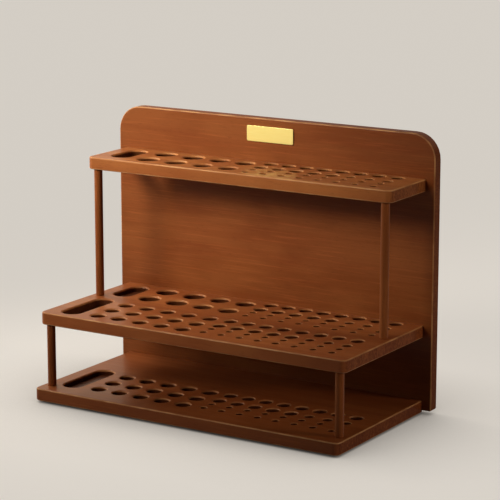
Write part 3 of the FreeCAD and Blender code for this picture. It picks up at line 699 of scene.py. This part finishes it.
# %% Posts and feet
TURNED_SIDES = 64
POST_EASE = 0.6 * MM
FOOT_ROUND = 0.4 * MM


def turned(name, centre, profile, material):
    """A solid of revolution about an upright axis, closed at both ends."""
    mesh = bmesh.new()
    rings = []
    for radius, height in profile:
        ring = []
        for side in range(TURNED_SIDES):
            angle = 2 * math.pi * side / TURNED_SIDES
            ring.append(mesh.verts.new((centre.x + radius * math.cos(angle),
                                        centre.y + radius * math.sin(angle), height)))
        rings.append(ring)
    for lower, upper in zip(rings, rings[1:]):
        for i in range(TURNED_SIDES):
            j = (i + 1) % TURNED_SIDES
            mesh.faces.new((lower[i], lower[j], upper[j], upper[i]))
    mesh.faces.new(rings[0])
    mesh.faces.new(rings[-1])
    bmesh.ops.recalc_face_normals(mesh, faces=mesh.faces)
    data = bpy.data.meshes.new(name)
    mesh.to_mesh(data)
    mesh.free()
    data.materials.append(material)
    piece = bpy.data.objects.new(name, data)
    bpy.context.scene.collection.objects.link(piece)
    return baked(piece)


def eased_ends(low, high, ease):
    """A dowel's profile with both ends rounded over."""
    radius = (high.x - low.x) / 2
    quarter = [math.pi / 2 * step / EDGE_STEPS for step in range(EDGE_STEPS + 1)]
    foot = [(radius - ease * (1 - math.sin(a)), low.z + ease * (1 - math.cos(a))) for a in quarter]
    head = [(r, low.z + high.z - z) for r, z in reversed(foot)]
    return foot + head


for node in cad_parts:
    if "_post_" in node or node.startswith("foot_"):
        low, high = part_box(node)
        is_post = "_post_" in node
        finish, slot = (wood["posts"], "stained_wood") if is_post else (rubber, "foot_rubber")
        profile = eased_ends(low, high, POST_EASE if is_post else FOOT_ROUND)
        piece = turned(node + "_turned", middle_of(node), profile, finish)
        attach(piece, "root")
        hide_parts(node)
        print(piece.name, len(piece.data.polygons), "faces,", round(volume(piece), 2), "cm3")

# %% [markdown]
# ## Screws
# Ten countersunk wood screws hold the stand together. Only their heads can be seen, but a screw
# that is taken out should still look like one, so each has a core, a thread that winds round it,
# a point and a cross recess. They repeat, so a second Geometry Nodes tree makes one screw from
# its sizes and sets copies of it on the corners of a mesh that holds only the head positions.

# %% Screw tree
SCREW_SIDES, RIDGE_SIDES = 24, 4
THREAD_TURN_STEPS = 16
POINT_LENGTH = 3.0                      # in core radii
RECESS_SHARE, RECESS_SINK = 0.58, 1.4   # shares of the head's width and depth; half stands proud
PLAIN_SHARE = 0.3                       # share of the core without thread


def screw_tree():
    """A countersunk wood screw, set with its head on each point of a mesh."""
    tree = bpy.data.node_groups.new("wood_screws", "GeometryNodeTree")
    sockets = (("Heads", "Geometry"), ("Turn", "Rotation"), ("Head Diameter", "Float"),
               ("Thread Diameter", "Float"), ("Core Diameter", "Float"), ("Length", "Float"),
               ("Thread Pitch", "Float"), ("Recess Width", "Float"), ("Material", "Material"))
    for name, kind in sockets:
        tree.interface.new_socket(name, in_out="INPUT", socket_type="NodeSocket" + kind)
    tree.interface.new_socket("Screws", in_out="OUTPUT", socket_type="NodeSocketGeometry")
    given = add(tree, "NodeGroupInput").outputs

    def at_height(geometry, height):
        spot = add(tree, "ShaderNodeCombineXYZ", {"Z": height})
        return add(tree, "GeometryNodeTransform", {"Geometry": geometry, "Translation": spot})

    # Head, core and point, from the head's face inwards.
    head_radius, thread_radius, core_radius = (
        add(tree, "ShaderNodeMath", (given[width], 2.0), operation="DIVIDE")
        for width in ("Head Diameter", "Thread Diameter", "Core Diameter"))
    cone_depth = add(tree, "ShaderNodeMath", (head_radius, core_radius), operation="SUBTRACT")
    tip = add(tree, "ShaderNodeMath", (core_radius, POINT_LENGTH), operation="MULTIPLY")
    core_end = add(tree, "ShaderNodeMath", (given["Length"], tip), operation="SUBTRACT")
    core_depth = add(tree, "ShaderNodeMath", (core_end, cone_depth), operation="SUBTRACT")
    half_core = add(tree, "ShaderNodeMath", (core_depth, 2.0), operation="DIVIDE")
    core_middle = add(tree, "ShaderNodeMath", (cone_depth, half_core), operation="ADD")
    head = add(tree, "GeometryNodeMeshCone", {
        "Vertices": SCREW_SIDES, "Radius Top": core_radius, "Radius Bottom": head_radius,
        "Depth": cone_depth})
    core = add(tree, "GeometryNodeMeshCylinder", {
        "Vertices": SCREW_SIDES, "Radius": core_radius, "Depth": core_depth})
    core = at_height(core.outputs["Mesh"], core_middle)
    point = add(tree, "GeometryNodeMeshCone", {
        "Vertices": SCREW_SIDES, "Radius Top": 0.0, "Radius Bottom": core_radius, "Depth": tip})
    point = at_height(point.outputs["Mesh"], core_end)

    # The cross recess: two bars sunk into the head.
    long_side = add(tree, "ShaderNodeMath", (given["Head Diameter"], RECESS_SHARE),
                    operation="MULTIPLY")
    sink = add(tree, "ShaderNodeMath", (cone_depth, RECESS_SINK), operation="MULTIPLY")
    bars = []
    for across in ((long_side, given["Recess Width"]), (given["Recess Width"], long_side)):
        size = add(tree, "ShaderNodeCombineXYZ", {"X": across[0], "Y": across[1], "Z": sink})
        bars.append(add(tree, "GeometryNodeMeshCube", {"Size": size}).outputs["Mesh"])
    cross = add(tree, "GeometryNodeMeshBoolean", {}, operation="UNION", solver="EXACT")
    for bar in bars:
        tree.links.new(bar, cross.inputs["Mesh 2"])
    recessed = add(tree, "GeometryNodeMeshBoolean", {
        "Mesh 1": head.outputs["Mesh"], "Mesh 2": cross.outputs["Mesh"]},
        operation="DIFFERENCE", solver="EXACT")

    # The thread: a four-sided ridge that winds round the core as far as the point.
    plain = add(tree, "ShaderNodeMath", (core_depth, PLAIN_SHARE), operation="MULTIPLY")
    thread_start = add(tree, "ShaderNodeMath", (cone_depth, plain), operation="ADD")
    thread_run = add(tree, "ShaderNodeMath", (core_end, thread_start), operation="SUBTRACT")
    turns = add(tree, "ShaderNodeMath", (thread_run, given["Thread Pitch"]), operation="DIVIDE")
    ridge_height = add(tree, "ShaderNodeMath", (thread_radius, core_radius), operation="SUBTRACT")
    spiral = add(tree, "GeometryNodeCurveSpiral", {
        "Resolution": THREAD_TURN_STEPS, "Rotations": turns, "Start Radius": core_radius,
        "End Radius": core_radius, "Height": thread_run})
    ridge = add(tree, "GeometryNodeCurvePrimitiveCircle",
                {"Resolution": RIDGE_SIDES, "Radius": ridge_height}, mode="RADIUS")
    thread = add(tree, "GeometryNodeCurveToMesh", {
        "Curve": spiral.outputs["Curve"], "Profile Curve": ridge.outputs["Curve"],
        "Fill Caps": True})
    thread = at_height(thread.outputs["Mesh"], thread_start)

    screw = add(tree, "GeometryNodeJoinGeometry")
    for part in (recessed, core, point, thread):
        tree.links.new(part.outputs[0], screw.inputs["Geometry"])
    copies = add(tree, "GeometryNodeInstanceOnPoints", {
        "Points": given["Heads"], "Instance": screw.outputs["Geometry"], "Rotation": given["Turn"]})
    real = add(tree, "GeometryNodeRealizeInstances", {"Geometry": copies.outputs["Instances"]})
    finish = add(tree, "GeometryNodeSetMaterial",
                 {"Geometry": real.outputs["Geometry"], "Material": given["Material"]})
    add(tree, "NodeGroupOutput", {"Screws": finish.outputs["Geometry"]})
    return tree


screwing = screw_tree()
screw_inputs = {s.name: s.identifier for s in screwing.interface.items_tree
                if s.in_out == "INPUT"}
print("screw tree:", len(screwing.nodes), "nodes, inputs", ", ".join(screw_inputs))

# %% Set the screws
FORWARDS = (math.pi / 2, 0, 0)
post_screws = [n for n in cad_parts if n.startswith("post_screw")]


def set_screws(name, nodes, heads, **values):
    """All screws of one kind as one piece, their heads at the given places."""
    data = bpy.data.meshes.new(name)
    data.from_pydata(heads, [], [])
    piece = bpy.data.objects.new(name, data)
    bpy.context.scene.collection.objects.link(piece)
    modifier = piece.modifiers.new("screws", "NODES")
    modifier.node_group = screwing
    for key, value in values.items():
        modifier[screw_inputs[key.replace("_", " ")]] = value
    baked(piece)
    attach(piece, "root")
    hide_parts(*nodes)
    print(piece.name, len(heads), "screws,", len(piece.data.polygons), "faces")


behind = [(middle_of(n).x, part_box(n)[1].y, middle_of(n).z) for n in panel_screws]
under = [(*middle_of(n).xy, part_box(n)[0].z) for n in post_screws]
set_screws("panel_screws", panel_screws, behind, Turn=FORWARDS, Head_Diameter=7 * MM,
           Thread_Diameter=3.5 * MM, Core_Diameter=2.4 * MM, Length=35 * MM, Thread_Pitch=1.6 * MM,
           Recess_Width=0.9 * MM, Material=zinc)
set_screws("post_screws", post_screws, under, Turn=(0, 0, 0), Head_Diameter=6 * MM,
           Thread_Diameter=3 * MM, Core_Diameter=2.1 * MM, Length=30 * MM, Thread_Pitch=1.35 * MM,
           Recess_Width=0.8 * MM, Material=zinc)

# %% [markdown]
# ## The brass plate
# A small plate of sheet brass with rounded corners is stuck near the panel's top edge. It is left
# bare. A slab with a very small edge round gives it the bright line that cut sheet metal has.
# Behind it the strip of foam tape keeps its plain box and only gets its finish.

# %% Brass plate and tape
PLATE_CORNER = 1.2 * MM
PLATE_EDGE = 0.3 * MM

low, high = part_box("brass_plate")
plate = slab("brass_plate_bare", (low.x, low.z), (high.x, high.z), [PLATE_CORNER] * 4,
             low.y, high.y, PLATE_EDGE, upright)
plate.data.materials.append(brass)
baked(plate)
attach(plate, "root")
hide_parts("brass_plate")
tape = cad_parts["plate_tape"]
tape.data.materials.clear()
tape.data.materials.append(foam)
print(plate.name, len(plate.data.polygons), "faces; tape node", tape.name)

# %% [markdown]
# ## Floor, light and world
# The stand is shown on a plain pale floor in soft studio light. The key lamp is a soft box close
# by, high on the front left, so the light fades from the upper left to the lower right. A second
# lamp on the left is higher and lights the boards' upper faces, a low one reaches between the
# boards, and a weak warm one stands behind on the left, where the lacquer mirrors it as a soft
# sheen. Two narrow, faint beams lift the end faces on the right and the top shelf's front.
#
# Light that the floor and the world throw back is kept low, so that the undersides stay deep:
# both are pale only where they are seen, directly or mirrored, and darker for the light that
# they pass on. The floor's paleness needs no lamp, so it would also shine under the stand.
# It is shaded where a piece is close above it, and that keeps the soft shadow at the feet.

# %% Floor
FLOOR_SIZE = 14.0
FLOOR_TONE = "#F2EBE1"
FLOOR_BOUNCE = "#6E4C38"
FLOOR_ROUGHNESS = 0.9
FLOOR_GLOW = 0.72                       # share of the floor's paleness that needs no lamp
SHADE_REACH = 0.15                      # how near a piece shades that paleness, in metres


def shown(tree):
    """One for rays that show a surface, directly or mirrored, zero for those that pass light on."""
    ray = add(tree, "ShaderNodeLightPath").outputs
    seen = ray["Is Camera Ray"]
    for kind in ("Is Glossy Ray", "Is Transmission Ray"):
        seen = add(tree, "ShaderNodeMath", (seen, ray[kind]), operation="MAXIMUM")
    return seen


half = FLOOR_SIZE / 2
floor_mesh = bpy.data.meshes.new("floor")
floor_mesh.from_pydata([(-half, -half, 0), (half, -half, 0), (half, half, 0), (-half, half, 0)], [],
                       [(0, 1, 2, 3)])
floor = bpy.data.objects.new("floor", floor_mesh)
bpy.context.scene.collection.objects.link(floor)
paper = bpy.data.materials.new("pale_paper_floor")
paper.use_nodes = True
tree = paper.node_tree
seen = shown(tree)
lit = tree.nodes["Principled BSDF"]
tone = add(tree, "ShaderNodeMix",
           {"Factor": seen, COLOUR_A: linear(FLOOR_BOUNCE), COLOUR_B: linear(FLOOR_TONE)},
           data_type="RGBA")
tree.links.new(tone.outputs[COLOUR_OUT], lit.inputs["Base Color"])
lit.inputs["Roughness"].default_value = FLOOR_ROUGHNESS
open_sky = add(tree, "ShaderNodeAmbientOcclusion", {"Distance": SHADE_REACH})
glow = add(tree, "ShaderNodeEmission",
           {"Color": linear(FLOOR_TONE), "Strength": open_sky.outputs["AO"]})
share = add(tree, "ShaderNodeMath", (seen, FLOOR_GLOW), operation="MULTIPLY")
surface = add(tree, "ShaderNodeMixShader", (share, lit, glow))
tree.links.new(surface.outputs["Shader"], tree.nodes["Material Output"].inputs["Surface"])
floor_mesh.materials.append(paper)
floor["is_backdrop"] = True
print("floor", FLOOR_SIZE, "m square")

# %% Lamps and world
LAMPS = {                               # place, aim, width, beam angle, watts, colour
    "key": ((-0.38, -0.50, 0.58), (-0.17, 0, 0.29), 0.4, 40, 0.55, "#FFF6EC"),
    "left": ((-0.75, 0.15, 0.80), (-0.14, -0.02, 0.10), 0.4, 44, 0.32, "#FFF6EC"),
    "low": ((-0.85, -0.15, 0.28), (-0.14, 0.03, 0.16), 0.35, 44, 0.22, "#FFF8F0"),
    "sheen": ((-0.80, 0.60, 0.36), (-0.15, 0, 0.10), 0.5, 40, 0.08, "#FFDDB4"),
    "right": ((1.20, 0.24, 0.60), (0.165, 0.02, 0.22), 0.5, 16, 0.17, "#FFE9D2"),
    "front": ((-0.12, -0.95, 0.70), (0.10, 0, 0.27), 0.3, 22, 0.055, "#FFF1E2"),
}
WORLD_TONE = "#F2EEE8"
WORLD_SEEN, WORLD_LIGHT = 0.4, 0.05
for name, (place, aim, width, beam, watts, colour) in LAMPS.items():
    lamp = bpy.data.objects.new(name, bpy.data.lights.new(name, "AREA"))
    lamp.data.shape = "DISK"
    lamp.data.size = width
    lamp.data.spread = math.radians(beam)
    lamp.data.energy = watts
    lamp.data.color = linear(colour)[:3]
    lamp.location = place
    lamp.rotation_euler = (Vector(place) - Vector(aim)).to_track_quat("Z", "Y").to_euler()
    bpy.context.scene.collection.objects.link(lamp)

world = bpy.data.worlds.new("studio")
bpy.context.scene.world = world
world.use_nodes = True
tree = world.node_tree
strength = add(tree, "ShaderNodeMapRange", (shown(tree), 0, 1, WORLD_LIGHT, WORLD_SEEN))
tree.nodes["Background"].inputs["Color"].default_value = linear(WORLD_TONE)
tree.links.new(strength.outputs["Result"], tree.nodes["Background"].inputs["Strength"])
bpy.context.scene.view_settings.view_transform = "Standard"
print("lamps:", ", ".join(LAMPS))

# %% [markdown]
# ## The size of the dressed model
# Nothing here may change the stand's dimensions, so the box of the dressed model is printed.

# %% Sizes
low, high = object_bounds()
print("dressed box in metres:", [round(v, 4) for v in (*low, *high)])
